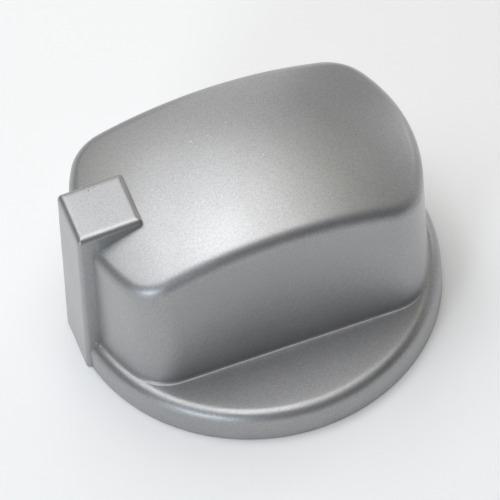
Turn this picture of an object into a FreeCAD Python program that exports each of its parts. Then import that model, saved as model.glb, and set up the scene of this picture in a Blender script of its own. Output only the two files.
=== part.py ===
import FreeCAD, Part
import math
import os
import Sketcher

# Oven control knob: a round skirt, a domed bar grip across it and a pointer block on one end.
# The frame has its origin on the spindle axis in the plane of the skirt's rim.
# +Z points out of the appliance, X runs along the grip, and the pointer is on the -X end.
# Lengths are in millimetres and angles in degrees.

SIZES = {
    # Skirt, a shallow cup with a rounded rim
    "SkirtDiameter": 45.0,
    "SkirtHeight": 4.25,
    "SkirtDraft": 1.0,
    "SkirtRimRounding": 1.6,
    "SkirtWall": 1.8,
    "SkirtPlate": 1.8,
    # Ledge of the skirt beyond the round ends of the grip
    "SkirtLedge": 1.55,
    # Grip, a bar with ends struck from the spindle axis, measured where it meets the skirt
    "GripWidth": 25.5,
    "GripDraft": 0.6,
    "GripCorner": 5.7,
    "GripFootRounding": 0.35,
    "GripCrownRounding": 2.1,
    "GripWall": 2.2,
    "CavityDraft": 0.5,
    # Dome over the grip, part of a sphere
    "DomeHeight": 26.3,
    "DomeRadius": 48.0,
    "DomeRoof": 2.2,
    # Pointer block, which leans inwards and stands a little above the dome at its inner end
    "PointerWidth": 7.8,
    "PointerProud": 0.2,
    "PointerLength": 8.95,
    "PointerLean": 2.0,
    "PointerStand": 0.75,
    "PointerRounding": 0.6,
    "PointerWall": 1.8,
    # Spindle of the appliance, across its round and across its flat, with its play in the bore
    "SpindleDiameter": 6.0,
    "SpindleAcrossFlat": 4.6,
    "SpindleClearance": 0.02,
    # Bore of the boss: a wider round mouth first, then the part with the flat
    "BoreLeadInStep": 0.23,
    "BoreLeadInDepth": 6.0,
    "BoreMouthChamfer": 0.3,
    "BoreDepth": 19.0,
    # Boss, slotted at its mouth, with a neck that seats the spring between a lip and a shoulder
    "BossNeckWall": 1.85,
    "BossLipStep": 0.3,
    "BossLipHeight": 1.2,
    "BossShoulderStep": 0.5,
    "BossDraft": 1.0,
    "SlotWidth": 1.2,
    "SlotDepth": 10.0,
    # Ribs from the boss to the walls of the grip, clear of the slots
    "RibThickness": 1.2,
    "RibAboveSlots": 2.0,
    # Spring clip, a strip of spring steel bent round the neck of the boss
    "ClipThickness": 0.5,
    "ClipWidth": 5.0,
    "ClipGap": 60.0,
    "ClipSeatClearance": 0.03,
    "ClipEndPlay": 0.1,
    # How far a cutting shape runs past the face that it opens
    "CutOverrun": 1.0,
}

# Sizes worked out from the driving ones, as expressions over the sheet
SKIRT_RADIUS = "(Sizes.SkirtDiameter / 2)"
END_RADIUS = "(Sizes.SkirtDiameter / 2 - Sizes.SkirtLedge)"
POINTER_REACH = "(Sizes.SkirtDiameter / 2 + Sizes.PointerProud)"
POINTER_INSET = "(" + POINTER_REACH + " - Sizes.PointerLength)"
POINTER_SLOPE = "tan(Sizes.PointerLean * 1 deg)"
POINTER_FALL = "(Sizes.PointerLength * " + POINTER_SLOPE + ")"
DOME_CENTRE = "(Sizes.DomeHeight - Sizes.DomeRadius)"
POINTER_TOP = (
    "(" + DOME_CENTRE + " + sqrt(Sizes.DomeRadius ^ 2 - " + POINTER_INSET + " ^ 2)"
    " + Sizes.PointerStand)"
)
POINTER_OUTER_TOP = "(" + POINTER_TOP + " - " + POINTER_FALL + ")"
BORE_RADIUS = "(Sizes.SpindleDiameter / 2 + Sizes.SpindleClearance)"
FLAT_OFFSET = "(Sizes.SpindleAcrossFlat - Sizes.SpindleDiameter / 2 + Sizes.SpindleClearance)"
LEAD_IN_RADIUS = "(" + BORE_RADIUS + " + Sizes.BoreLeadInStep)"
NECK_RADIUS = "(" + LEAD_IN_RADIUS + " + Sizes.BossNeckWall)"
NECK_END = "(Sizes.BossLipHeight + Sizes.ClipWidth + Sizes.ClipEndPlay * 2)"
SHOULDER_RADIUS = "(" + NECK_RADIUS + " + Sizes.BossShoulderStep)"


def make_sheet(doc):
    """The driving dimensions, one to a cell, each under its own name."""
    sheet = doc.addObject("Spreadsheet::Sheet", "Sizes")
    for row, (name, number) in enumerate(SIZES.items(), start=1):
        cell = "A" + str(row)
        sheet.set(cell, str(number))
        sheet.setAlias(cell, name)
    doc.recompute()
    return sheet


def make_body(doc, name):
    """An empty body under its own label."""
    body = doc.addObject("PartDesign::Body", name)
    body.Label = name
    return body


def origin_feature(body, role):
    """One of the body's own base planes or axes."""
    for feature in body.Origin.OriginFeatures:
        if feature.Role == role:
            return feature
    raise ValueError("no origin feature " + role)


def make_sketch(body, name, plane):
    """A sketch on one of the body's base planes."""
    sketch = body.newObject("Sketcher::SketchObject", name)
    sketch.AttachmentSupport = [(origin_feature(body, plane), "")]
    sketch.MapMode = "FlatFace"
    return sketch


def bind(sketch, kind, references, start, expression):
    """A dimension that starts at a number and follows an expression."""
    index = sketch.addConstraint(Sketcher.Constraint(kind, *references, start))
    sketch.setExpression("Constraints[" + str(index) + "]", expression)


# References to a sketch's own frame and to the points of an edge
AXES = -1
START = 1
END = 2
CENTRE = 3

# Two points or heights are the same within this
NEAR = 0.001

FULL_TURN = 360

# One rib towards each end of the grip and one towards each side
RIB_COUNT = 4


def corner_outline(sketch, corners):
    """A closed outline of straight edges. Each corner is a pair of expressions, across and up."""
    count = len(corners)
    turn = 2 * math.pi / count
    spread = SIZES["GripWidth"]
    points = [
        FreeCAD.Vector(spread * math.cos(i * turn), spread * math.sin(i * turn), 0)
        for i in range(count)
    ]
    for i in range(count):
        sketch.addGeometry(Part.LineSegment(points[i], points[(i + 1) % count]), False)
    for i in range(count):
        following = (i + 1) % count
        sketch.addConstraint(Sketcher.Constraint("Coincident", i, END, following, START))
    for i, (across, up) in enumerate(corners):
        bind(sketch, "DistanceX", (AXES, START, i, START), points[i].x, across)
        bind(sketch, "DistanceY", (AXES, START, i, START), points[i].y, up)


def bar_outline(sketch, half_width, end_radius, corner_radius):
    """Plan of the grip: two straight sides, two ends struck from the axis, four round corners."""
    width = SIZES["GripWidth"] / 2
    reach = SIZES["SkirtDiameter"] / 2 - SIZES["SkirtLedge"]
    corner = SIZES["GripCorner"]
    centre_y = width - corner
    centre_x = math.sqrt((reach - corner) ** 2 - centre_y**2)
    lean = math.atan2(centre_y, centre_x)
    up = FreeCAD.Vector(0, 0, 1)

    def arc(x, y, radius, start, end):
        circle = Part.Circle(FreeCAD.Vector(x, y, 0), up, radius)
        return sketch.addGeometry(Part.ArcOfCircle(circle, start, end), False)

    def side(x0, x1, y):
        line = Part.LineSegment(FreeCAD.Vector(x0, y, 0), FreeCAD.Vector(x1, y, 0))
        return sketch.addGeometry(line, False)

    quarter = math.pi / 2
    right = arc(0, 0, reach, -lean, lean)
    corner_a = arc(centre_x, centre_y, corner, lean, quarter)
    back = side(centre_x, -centre_x, width)
    corner_b = arc(-centre_x, centre_y, corner, quarter, math.pi - lean)
    left = arc(0, 0, reach, math.pi - lean, math.pi + lean)
    corner_c = arc(-centre_x, -centre_y, corner, math.pi + lean, 3 * quarter)
    front = side(-centre_x, centre_x, -width)
    corner_d = arc(centre_x, -centre_y, corner, 3 * quarter, 4 * quarter - lean)
    ring = [right, corner_a, back, corner_b, left, corner_c, front, corner_d]
    for i, edge in enumerate(ring):
        following = ring[(i + 1) % len(ring)]
        sketch.addConstraint(Sketcher.Constraint("Tangent", edge, END, following, START))
    for end in (right, left):
        sketch.addConstraint(Sketcher.Constraint("Coincident", end, CENTRE, AXES, START))
    for other in (corner_b, corner_c, corner_d):
        sketch.addConstraint(Sketcher.Constraint("Equal", corner_a, other))
    sketch.addConstraint(Sketcher.Constraint("Equal", right, left))
    for straight in (back, front):
        sketch.addConstraint(Sketcher.Constraint("Horizontal", straight))
    bind(sketch, "DistanceY", (AXES, START, back, START), width, half_width)
    bind(sketch, "DistanceY", (front, START, AXES, START), width, half_width)
    bind(sketch, "Radius", (right,), reach, end_radius)
    bind(sketch, "Radius", (corner_a,), corner, corner_radius)


def cut_beyond_sphere(doc, body, name, drop):
    """Everything beyond the dome's sphere taken off. drop is the depth below the dome's own surface.

    A section of the space outside the sphere is turned to either side about a line along the grip
    through the sphere's centre.
    """
    sketch = make_sketch(body, name + "Section", "XZ_Plane")
    sketch.setExpression("AttachmentOffset.Base.y", DOME_CENTRE)
    radius = SIZES["DomeRadius"]
    reach = SIZES["SkirtDiameter"] / 2
    low = math.sqrt(radius**2 - reach**2)
    top = radius + SIZES["GripWidth"] / 2
    end = math.acos(reach / radius)
    circle = Part.Circle(FreeCAD.Vector(0, 0, 0), FreeCAD.Vector(0, 0, 1), radius)
    dome = sketch.addGeometry(Part.ArcOfCircle(circle, end, math.pi - end), False)
    corners = [(-reach, low), (-reach, top), (reach, top), (reach, low)]
    points = [FreeCAD.Vector(across, up, 0) for across, up in corners]
    left, over, right = [
        sketch.addGeometry(Part.LineSegment(points[i], points[i + 1]), False) for i in range(3)
    ]
    loop = [dome, left, over, right]
    for i, edge in enumerate(loop):
        following = loop[(i + 1) % len(loop)]
        sketch.addConstraint(Sketcher.Constraint("Coincident", edge, END, following, START))
    sketch.addConstraint(Sketcher.Constraint("Coincident", dome, CENTRE, AXES, START))
    sketch.addConstraint(Sketcher.Constraint("Vertical", left))
    sketch.addConstraint(Sketcher.Constraint("Horizontal", over))
    sketch.addConstraint(Sketcher.Constraint("Vertical", right))
    bind(sketch, "Radius", (dome,), radius, "Sizes.DomeRadius - " + drop)
    bind(sketch, "DistanceX", (left, START, AXES, START), reach, SKIRT_RADIUS)
    bind(sketch, "DistanceX", (AXES, START, right, START), reach, SKIRT_RADIUS)
    bind(sketch, "DistanceY", (AXES, START, over, START), top, "Sizes.DomeRadius + Sizes.GripWidth / 2")
    feature = body.newObject("PartDesign::Groove", name)
    feature.Profile = sketch
    feature.ReferenceAxis = (sketch, ["H_Axis"])
    feature.Midplane = True
    feature.Angle = FULL_TURN / 2
    doc.recompute()
    return feature


def revolve(body, kind, name, sketch, angle=None):
    """A profile turned about the spindle axis, right round unless an angle is given."""
    feature = body.newObject("PartDesign::" + kind, name)
    feature.Profile = sketch
    feature.ReferenceAxis = (origin_feature(body, "Z_Axis"), [""])
    feature.Angle = FULL_TURN
    if angle is not None:
        feature.Midplane = True
        feature.setExpression("Angle", angle)
    return feature


def drafted_bar(doc, body, name, inset, draft):
    """The grip's plan raised from the rim's plane to the dome's height, its walls leaning in.

    inset is the depth inside the grip's own wall, measured where the grip meets the skirt.
    """
    plan = make_sketch(body, name + "Plan", "XY_Plane")
    widening = " - " + inset + " + Sizes.SkirtHeight * tan(" + draft + " * 1 deg)"
    bar_outline(
        plan,
        "Sizes.GripWidth / 2" + widening,
        END_RADIUS + widening,
        "Sizes.GripCorner" + widening,
    )
    feature = body.newObject("PartDesign::Pad", name)
    feature.Profile = plan
    feature.setExpression("Length", "Sizes.DomeHeight")
    feature.setExpression("TaperAngle", "-" + draft)
    doc.recompute()
    return feature


def pocket_up(body, name, sketch, depth=None):
    """A cut from the sketch's plane towards +Z, to a depth or right through."""
    feature = body.newObject("PartDesign::Pocket", name)
    feature.Profile = sketch
    feature.Reversed = True
    if depth is None:
        feature.Type = "ThroughAll"
    else:
        feature.Type = "Length"
        feature.setExpression("Length", depth)
    return feature


def fillet(body, name, base, edges, radius):
    """Rounded edges of one radius. edges are the numbers of the base's edges, from one."""
    if not edges:
        raise ValueError("no edge to round for " + name)
    feature = body.newObject("PartDesign::Fillet", name)
    feature.Base = (base, ["Edge" + str(number) for number in edges])
    feature.setExpression("Radius", radius)
    return feature


def edges_where(shape, test):
    """The numbers of the edges that pass a test at their ends and their middle."""
    found = []
    for number, edge in enumerate(shape.Edges, start=1):
        middle = (edge.FirstParameter + edge.LastParameter) / 2
        stations = (edge.FirstParameter, middle, edge.LastParameter)
        if all(test(edge.valueAt(station)) for station in stations):
            found.append(number)
    return found


def distance_from_axis(point):
    return math.hypot(point.x, point.y)


def add_skirt(doc, body):
    """The skirt as a drafted disc with a rounded rim, closed under the grip."""
    profile = make_sketch(body, "SkirtSection", "XZ_Plane")
    corner_outline(profile, [
        ("0 mm", "0 mm"),
        (SKIRT_RADIUS, "0 mm"),
        (SKIRT_RADIUS + " - Sizes.SkirtHeight * tan(Sizes.SkirtDraft * 1 deg)", "Sizes.SkirtHeight"),
        ("0 mm", "Sizes.SkirtHeight"),
    ])
    skirt = revolve(body, "Revolution", "Skirt", profile)
    doc.recompute()

    def at_top(point):
        return abs(point.z - SIZES["SkirtHeight"]) < NEAR and distance_from_axis(point) > NEAR

    fillet(body, "RimEdge", skirt, edges_where(skirt.Shape, at_top), "Sizes.SkirtRimRounding")
    doc.recompute()


def add_grip(doc, body):
    """The bar grip with its spherical dome, its crown edge and its foot rounded."""
    drafted_bar(doc, body, "Grip", "0", "Sizes.GripDraft")
    dome = cut_beyond_sphere(doc, body, "Dome", "0")

    centre = FreeCAD.Vector(0, 0, SIZES["DomeHeight"] - SIZES["DomeRadius"])

    def on_dome(point):
        return abs((point - centre).Length - SIZES["DomeRadius"]) < NEAR

    crown = fillet(body, "CrownEdge", dome, edges_where(dome.Shape, on_dome), "Sizes.GripCrownRounding")
    doc.recompute()

    def low(point):
        return point.z < SIZES["SkirtHeight"] + NEAR

    middle_height = (SIZES["SkirtHeight"] + SIZES["DomeHeight"]) / 2
    walls = [face for face in crown.Shape.Faces if face.BoundBox.ZMax > middle_height]
    wall_edges = [edge for face in walls for edge in face.Edges]
    foot_edges = [
        number
        for number in edges_where(crown.Shape, low)
        if any(crown.Shape.Edges[number - 1].isSame(edge) for edge in wall_edges)
    ]
    fillet(body, "FootEdge", crown, foot_edges, "Sizes.GripFootRounding")
    doc.recompute()


def make_pointer(doc):
    """The pointer block by itself, all its edges above the rim's plane rounded."""
    body = make_body(doc, "pointer_block")
    section = make_sketch(body, "PointerSection", "XZ_Plane")
    corner_outline(section, [
        ("-" + POINTER_REACH, "0 mm"),
        ("-" + POINTER_INSET, "0 mm"),
        ("-" + POINTER_INSET, POINTER_TOP),
        ("-" + POINTER_REACH + " + " + POINTER_TOP + " * " + POINTER_SLOPE, POINTER_OUTER_TOP),
    ])
    block = body.newObject("PartDesign::Pad", "PointerBlock")
    block.Profile = section
    block.SideType = "Symmetric"
    block.setExpression("Length", "Sizes.PointerWidth")
    doc.recompute()

    in_rim_plane = edges_where(block.Shape, lambda point: point.z < NEAR)
    count = len(block.Shape.Edges)
    rounded = [number for number in range(1, count + 1) if number not in in_rim_plane]
    fillet(body, "PointerEdges", block, rounded, "Sizes.PointerRounding")
    doc.recompute()
    return body


def make_hollow(doc):
    """The space inside the knob, open at the rim: skirt recess, grip cavity and pointer core."""
    body = make_body(doc, "hollow")
    recess = make_sketch(body, "RecessSection", "XZ_Plane")
    recess_top = "Sizes.SkirtHeight - Sizes.SkirtPlate"
    recess_radius = SKIRT_RADIUS + " - Sizes.SkirtWall"
    corner_outline(recess, [
        ("0 mm", "-Sizes.CutOverrun"),
        (recess_radius, "-Sizes.CutOverrun"),
        (recess_radius + " - (" + recess_top + ") * tan(Sizes.SkirtDraft * 1 deg)", recess_top),
        ("0 mm", recess_top),
    ])
    revolve(body, "Revolution", "Recess", recess)
    doc.recompute()

    drafted_bar(doc, body, "Cavity", "Sizes.GripWall", "Sizes.CavityDraft")

    core_section = make_sketch(body, "PointerCoreSection", "XZ_Plane")
    core_reach = "(" + POINTER_REACH + " - Sizes.PointerWall)"
    core_top = "(" + POINTER_OUTER_TOP + " - Sizes.DomeRoof)"
    corner_outline(core_section, [
        ("-" + core_reach, "0 mm"),
        ("-" + POINTER_INSET, "0 mm"),
        ("-" + POINTER_INSET, core_top),
        ("-" + core_reach + " + " + core_top + " * " + POINTER_SLOPE, core_top),
    ])
    core = body.newObject("PartDesign::Pad", "PointerCore")
    core.Profile = core_section
    core.SideType = "Symmetric"
    core.setExpression("Length", "Sizes.PointerWidth - Sizes.PointerWall * 2")
    doc.recompute()

    cut_beyond_sphere(doc, body, "Roof", "Sizes.DomeRoof")

    boss = make_sketch(body, "BossSection", "XZ_Plane")
    lip_radius = NECK_RADIUS + " + Sizes.BossLipStep"
    boss_foot = "-Sizes.CutOverrun * 2"
    boss_top = "(Sizes.DomeHeight + Sizes.CutOverrun)"
    boss_rise = "(" + boss_top + " - " + NECK_END + ")"
    corner_outline(boss, [
        ("0 mm", boss_foot),
        (lip_radius, boss_foot),
        (lip_radius, "Sizes.BossLipHeight"),
        (NECK_RADIUS, "Sizes.BossLipHeight"),
        (NECK_RADIUS, NECK_END),
        (SHOULDER_RADIUS, NECK_END),
        (SHOULDER_RADIUS + " + " + boss_rise + " * tan(Sizes.BossDraft * 1 deg)", boss_top),
        ("0 mm", boss_top),
    ])
    revolve(body, "Groove", "Boss", boss)
    doc.recompute()

    rib_plan = make_sketch(body, "RibPlan", "XY_Plane")
    rib_plan.setExpression("AttachmentOffset.Base.z", "Sizes.SlotDepth + Sizes.RibAboveSlots")
    half = "Sizes.RibThickness / 2"
    corner_outline(rib_plan, [
        ("0 mm", "-" + half),
        (SKIRT_RADIUS, "-" + half),
        (SKIRT_RADIUS, half),
        ("0 mm", half),
    ])
    rib = pocket_up(body, "Rib", rib_plan)
    doc.recompute()
    ribs = body.newObject("PartDesign::PolarPattern", "Ribs")
    ribs.Originals = [rib]
    ribs.Axis = (origin_feature(body, "Z_Axis"), [""])
    ribs.Angle = FULL_TURN
    ribs.Occurrences = RIB_COUNT
    body.Tip = ribs
    doc.recompute()
    return body


def add_boolean(doc, body, name, kind, tool):
    """Another body joined to this one or cut from it."""
    feature = body.newObject("PartDesign::Boolean", name)
    feature.Type = kind
    feature.setObjects([tool])
    doc.recompute()
    return feature


def add_bore(doc, body):
    """The spindle's bore: a round lead-in, a longer part with a flat, and two slots in the boss."""
    up = FreeCAD.Vector(0, 0, 1)
    spindle = SIZES["SpindleDiameter"] / 2
    bore = spindle + SIZES["SpindleClearance"]
    lead = bore + SIZES["BoreLeadInStep"]
    offset = SIZES["SpindleAcrossFlat"] - spindle + SIZES["SpindleClearance"]

    lead_plan = make_sketch(body, "LeadInPlan", "XY_Plane")
    lead_plan.addGeometry(Part.Circle(FreeCAD.Vector(0, 0, 0), up, lead), False)
    lead_plan.addConstraint(Sketcher.Constraint("Coincident", 0, CENTRE, AXES, START))
    bind(lead_plan, "Radius", (0,), lead, LEAD_IN_RADIUS)
    pocket_up(body, "LeadIn", lead_plan, "Sizes.BoreLeadInDepth")
    doc.recompute()

    flat_plan = make_sketch(body, "FlattedBorePlan", "XY_Plane")
    half_flat = math.sqrt(bore**2 - offset**2)
    angle = math.atan2(half_flat, offset)
    circle = Part.Circle(FreeCAD.Vector(0, 0, 0), up, bore)
    flat_plan.addGeometry(Part.ArcOfCircle(circle, angle, 2 * math.pi - angle), False)
    lower = FreeCAD.Vector(offset, -half_flat, 0)
    upper = FreeCAD.Vector(offset, half_flat, 0)
    flat_plan.addGeometry(Part.LineSegment(lower, upper), False)
    flat_plan.addConstraint(Sketcher.Constraint("Coincident", 0, END, 1, START))
    flat_plan.addConstraint(Sketcher.Constraint("Coincident", 1, END, 0, START))
    flat_plan.addConstraint(Sketcher.Constraint("Coincident", 0, CENTRE, AXES, START))
    flat_plan.addConstraint(Sketcher.Constraint("Vertical", 1))
    bind(flat_plan, "Radius", (0,), bore, BORE_RADIUS)
    bind(flat_plan, "DistanceX", (AXES, START, 1, START), offset, FLAT_OFFSET)
    pocket_up(body, "FlattedBore", flat_plan, "Sizes.BoreDepth")
    doc.recompute()

    slot_plan = make_sketch(body, "SlotPlan", "XY_Plane")
    half = "Sizes.SlotWidth / 2"
    length = "(" + SHOULDER_RADIUS + " + Sizes.CutOverrun)"
    corner_outline(slot_plan, [
        ("-" + half, "-" + length),
        (half, "-" + length),
        (half, length),
        ("-" + half, length),
    ])
    slots = pocket_up(body, "Slots", slot_plan, "Sizes.SlotDepth")
    doc.recompute()

    def at_mouth(point):
        return abs(point.z) < NEAR and abs(distance_from_axis(point) - lead) < NEAR

    mouth_edges = edges_where(slots.Shape, at_mouth)
    mouth = body.newObject("PartDesign::Chamfer", "BoreMouth")
    mouth.Base = (slots, ["Edge" + str(number) for number in mouth_edges])
    mouth.setExpression("Size", "Sizes.BoreMouthChamfer")
    doc.recompute()
    return mouth


def make_knob(doc):
    """The one moulding that is the knob."""
    body = make_body(doc, "knob_body")
    add_skirt(doc, body)
    add_grip(doc, body)
    add_boolean(doc, body, "WithPointer", "Fuse", make_pointer(doc))
    solid = body.Shape.Volume
    add_boolean(doc, body, "Hollowed", "Cut", make_hollow(doc))
    hollowed = body.Shape.Volume
    add_bore(doc, body)
    if not solid > hollowed > body.Shape.Volume:
        raise ValueError("the hollow or the bore took nothing away")
    return body


def make_clip(doc):
    """The spring clip: a strip bent round the boss, its gap towards the pointer."""
    body = make_body(doc, "spring_clip")
    section = make_sketch(body, "StripSection", "XZ_Plane")
    inside = NECK_RADIUS + " + Sizes.ClipSeatClearance"
    low = "Sizes.BossLipHeight + Sizes.ClipEndPlay"
    corner_outline(section, [
        (inside, low),
        (inside + " + Sizes.ClipThickness", low),
        (inside + " + Sizes.ClipThickness", low + " + Sizes.ClipWidth"),
        (inside, low + " + Sizes.ClipWidth"),
    ])
    revolve(body, "Revolution", "Strip", section, "360 - Sizes.ClipGap")
    doc.recompute()
    return body


def check(doc, pieces):
    """Every feature worked and every piece is one sound solid."""
    for item in doc.Objects:
        for word in ("Invalid", "Error"):
            if word in item.State:
                raise ValueError(item.Name + " is " + word)
    for piece in pieces:
        shape = piece.Shape
        if shape.isNull() or not shape.isValid() or len(shape.Solids) != 1:
            raise ValueError(piece.Label + " is not one sound solid")


def main():
    doc = FreeCAD.newDocument("oven_control_knob")
    make_sheet(doc)
    pieces = [make_knob(doc), make_clip(doc)]
    doc.recompute()
    check(doc, pieces)
    os.makedirs("parts", exist_ok=True)
    for piece in pieces:
        piece.Shape.exportStep("parts/" + piece.Label + ".step")
        box = piece.Shape.BoundBox
        print(piece.Label, round(piece.Shape.Volume, 2), box)


main()
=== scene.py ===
"""Looks of an oven control knob: a silver moulding with a pointer, its spring clip and a plain studio.

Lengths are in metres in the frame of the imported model: the spindle's axis is Z, the rim of the skirt
lies in the plane of the origin, the grip runs along X and the pointer is on its -X end.
"""

import math
from functools import partial

import bpy
import numpy as np
from bpy.props import FloatProperty, FloatVectorProperty, PointerProperty, StringProperty
from mathutils import Matrix, Vector


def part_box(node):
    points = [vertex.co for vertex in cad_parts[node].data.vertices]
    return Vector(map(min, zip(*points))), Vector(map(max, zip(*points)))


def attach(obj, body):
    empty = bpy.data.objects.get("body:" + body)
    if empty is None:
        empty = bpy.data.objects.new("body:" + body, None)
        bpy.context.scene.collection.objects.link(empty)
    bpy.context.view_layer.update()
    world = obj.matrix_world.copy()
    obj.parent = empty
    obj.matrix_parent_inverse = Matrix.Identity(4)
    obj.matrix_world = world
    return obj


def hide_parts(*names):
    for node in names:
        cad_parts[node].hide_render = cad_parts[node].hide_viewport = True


bl_info = {
    "name": "Oven control knob",
    "version": (1, 0, 0),
    "blender": (4, 5, 0),
    "location": "View3D > Sidebar > Knob",
    "description": "Builds the moulding and the spring clip of an oven control knob, and its studio",
    "category": "Add Mesh",
}

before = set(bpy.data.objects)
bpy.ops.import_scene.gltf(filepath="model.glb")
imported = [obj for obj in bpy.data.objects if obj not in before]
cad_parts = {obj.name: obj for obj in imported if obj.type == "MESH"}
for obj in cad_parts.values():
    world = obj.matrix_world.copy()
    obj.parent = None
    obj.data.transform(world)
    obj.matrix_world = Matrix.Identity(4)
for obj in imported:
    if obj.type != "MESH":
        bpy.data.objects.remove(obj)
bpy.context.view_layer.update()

MM = 0.001
KNOB_LOW, KNOB_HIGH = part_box("knob_body")
CLIP_LOW, CLIP_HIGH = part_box("spring_clip")

# Edges sharper than this many degrees show as creases
CREASE_ANGLE = 32.0

# Steps along a quarter of the grip's plan: half an end, a corner and half a side
END_STEPS = 22
CORNER_STEPS = 34
SIDE_STEPS = 40

# Steps across the bands of the moulding: dome, roof, large arcs, walls, small arcs, flats, edges and lips
DOME_STEPS = 22
ROOF_STEPS = 10
ARC_STEPS = 12
WALL_STEPS = 8
FILLET_STEPS = 6
FLAT_STEPS = 5
EDGE_STEPS = 4
LIP_STEPS = 3

# Steps round an upright corner of the pointer, up its walls and over its top edges
POINTER_CORNER_STEPS = 8
POINTER_WALL_STEPS = 12
POINTER_EDGE_STEPS = 7

# Stations along a rib and round the clip's strip, and steps round an edge of the strip
RIB_STATIONS = 24
CLIP_STATIONS = 120
CLIP_EDGE_STEPS = 5

# Halvings that find how high a ball rolls in a wall, and rounds that settle the ball at the grip's foot
HALVINGS = 50
FOOT_ROUNDS = 6


def length(name, description, millimetres):
    """A length that a user can change, with its default in millimetres."""
    return FloatProperty(
        name=name, description=description, default=millimetres * MM, min=0.0, unit="LENGTH", precision=5
    )


def angle(name, description, degrees):
    """An angle that a user can change, with its default in degrees."""
    return FloatProperty(
        name=name, description=description, default=math.radians(degrees), subtype="ANGLE"
    )


def colour(name, description, code):
    """A colour that a user can change, written as an sRGB hex value."""
    return StringProperty(name=name, description=description, default=code)


class KnobSizes(bpy.types.PropertyGroup):
    """Sizes of the moulding's outside."""

    skirt_radius: length("Skirt radius", "Radius of the skirt at its rim", KNOB_HIGH.y / MM)
    skirt_height: length("Skirt height", "Height of the skirt's flat above its rim", 4.25)
    skirt_draft: angle("Skirt draft", "Lean of the skirt's wall", 1.0)
    rim_rounding: length("Rim rounding", "Radius between the skirt's wall and its flat", 1.6)
    rim_edge: length("Rim edge", "Radius of the two edges of the rim", 0.15)
    skirt_ledge: length("Skirt ledge", "Width of the skirt beyond the grip's round ends", 1.55)
    grip_width: length("Grip width", "Width of the grip where it meets the skirt", 25.5)
    grip_draft: angle("Grip draft", "Lean of the grip's wall", 0.6)
    grip_corner: length("Grip corner", "Radius of the grip's corners where it meets the skirt", 5.7)
    foot_rounding: length("Foot rounding", "Radius between the grip's wall and the skirt", 0.35)
    crown_rounding: length("Crown rounding", "Radius between the grip's wall and its dome", 2.1)
    dome_height: length("Dome height", "Height of the dome on the spindle's axis", KNOB_HIGH.z / MM)
    dome_radius: length("Dome radius", "Radius of the sphere that the dome is part of", 48.0)
    pointer_reach: length("Pointer reach", "Distance of the pointer's foot from the axis", -KNOB_LOW.x / MM)
    pointer_length: length("Pointer length", "Length of the pointer along the grip", 8.95)
    pointer_width: length("Pointer width", "Width of the pointer", 7.8)
    pointer_stand: length("Pointer stand", "Rise of the pointer's inner end over the dome", 0.75)
    pointer_lean: angle("Pointer lean", "Lean of the pointer's end and slope of its top", 2.0)
    pointer_rounding: length("Pointer rounding", "Radius of the pointer's top edges", 0.85)
    pointer_corner: length("Pointer corner", "Radius of the pointer's upright edges", 0.55)


class HollowSizes(bpy.types.PropertyGroup):
    """Sizes of the moulding's inside."""

    skirt_wall: length("Skirt wall", "Wall of the skirt at its rim", 1.8)
    skirt_plate: length("Skirt plate", "Thickness of the skirt under its flat", 1.8)
    grip_wall: length("Grip wall", "Wall of the grip", 2.2)
    cavity_draft: angle("Cavity draft", "Lean of the cavity's wall", 0.5)
    roof: length("Roof", "Thickness of the dome and of the pointer's top", 2.2)
    pointer_wall: length("Pointer wall", "Wall of the pointer", 1.8)
    inner_rounding: length("Inner rounding", "Radius between the cavity's wall and its roof", 0.5)
    shoulder_radius: length("Shoulder radius", "Radius of the boss above the clip", 5.6)
    boss_draft: angle("Boss draft", "Lean of the boss above the clip", 1.0)
    neck_radius: length("Neck radius", "Radius of the boss inside the clip", 5.1)
    lip_step: length("Lip step", "Step from the neck out to the lip at the mouth", 0.3)
    lip_height: length("Lip height", "Height of the lip", 1.2)
    neck_end: length("Neck end", "Height of the shoulder above the rim", 6.4)
    lead_in_radius: length("Lead-in radius", "Radius of the bore's wider mouth", 3.25)
    lead_in_depth: length("Lead-in depth", "Depth of the bore's wider mouth", 6.0)
    mouth_chamfer: length("Mouth chamfer", "Chamfer of the bore's mouth", 0.3)
    bore_radius: length("Bore radius", "Radius of the bore's round side", 3.02)
    flat_offset: length("Flat offset", "Distance of the bore's flat from the axis", 1.62)
    bore_depth: length("Bore depth", "Depth of the bore", 19.0)
    slot_width: length("Slot width", "Width of the boss's two slots", 1.2)
    slot_depth: length("Slot depth", "Depth of the boss's two slots", 10.0)
    rib_thickness: length("Rib thickness", "Thickness of the four ribs", 1.2)
    rib_foot: length("Rib foot", "Height of the ribs' lower edges above the rim", 12.0)


class ClipSizes(bpy.types.PropertyGroup):
    """Sizes of the spring clip."""

    outer_radius: length("Outer radius", "Outer radius of the strip", CLIP_HIGH.y / MM)
    thickness: length("Thickness", "Thickness of the strip", 0.5)
    gap: angle("Gap", "Gap between the strip's ends, on the pointer's side", 60.0)
    edge: length("Edge", "Radius of the strip's edges", 0.08)


class Finishes(bpy.types.PropertyGroup):
    """Colours, as sRGB hex values."""

    paint: colour("Paint", "Silver paint between its flakes", "#99999A")
    paint_light: colour("Light paint", "Silver paint on its flakes", "#AFAFB0")
    # Painted glint: a lighter colour on a few random flakes, standing in for their highlight
    painted_glint: colour("Flake", "Flakes that glint", "#D2D3D4")
    dust: colour("Dust", "Dark specks of dust in the paint", "#55544F")
    # Light marks: a bare fleck, and a painted highlight at the pointer's foot
    fleck_and_highlight: colour("Fleck", "Bare light flecks in the paint", "#DDDEDC")
    plastic: colour("Plastic", "Bare plastic inside the knob", "#54565A")
    steel: colour("Steel", "Spring steel of the clip", "#A9A7A2")
    floor: colour("Floor", "Floor", "#EFEFEF")
    backdrop: colour("Backdrop", "Backdrop behind the floor", "#FFFFFF")


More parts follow.
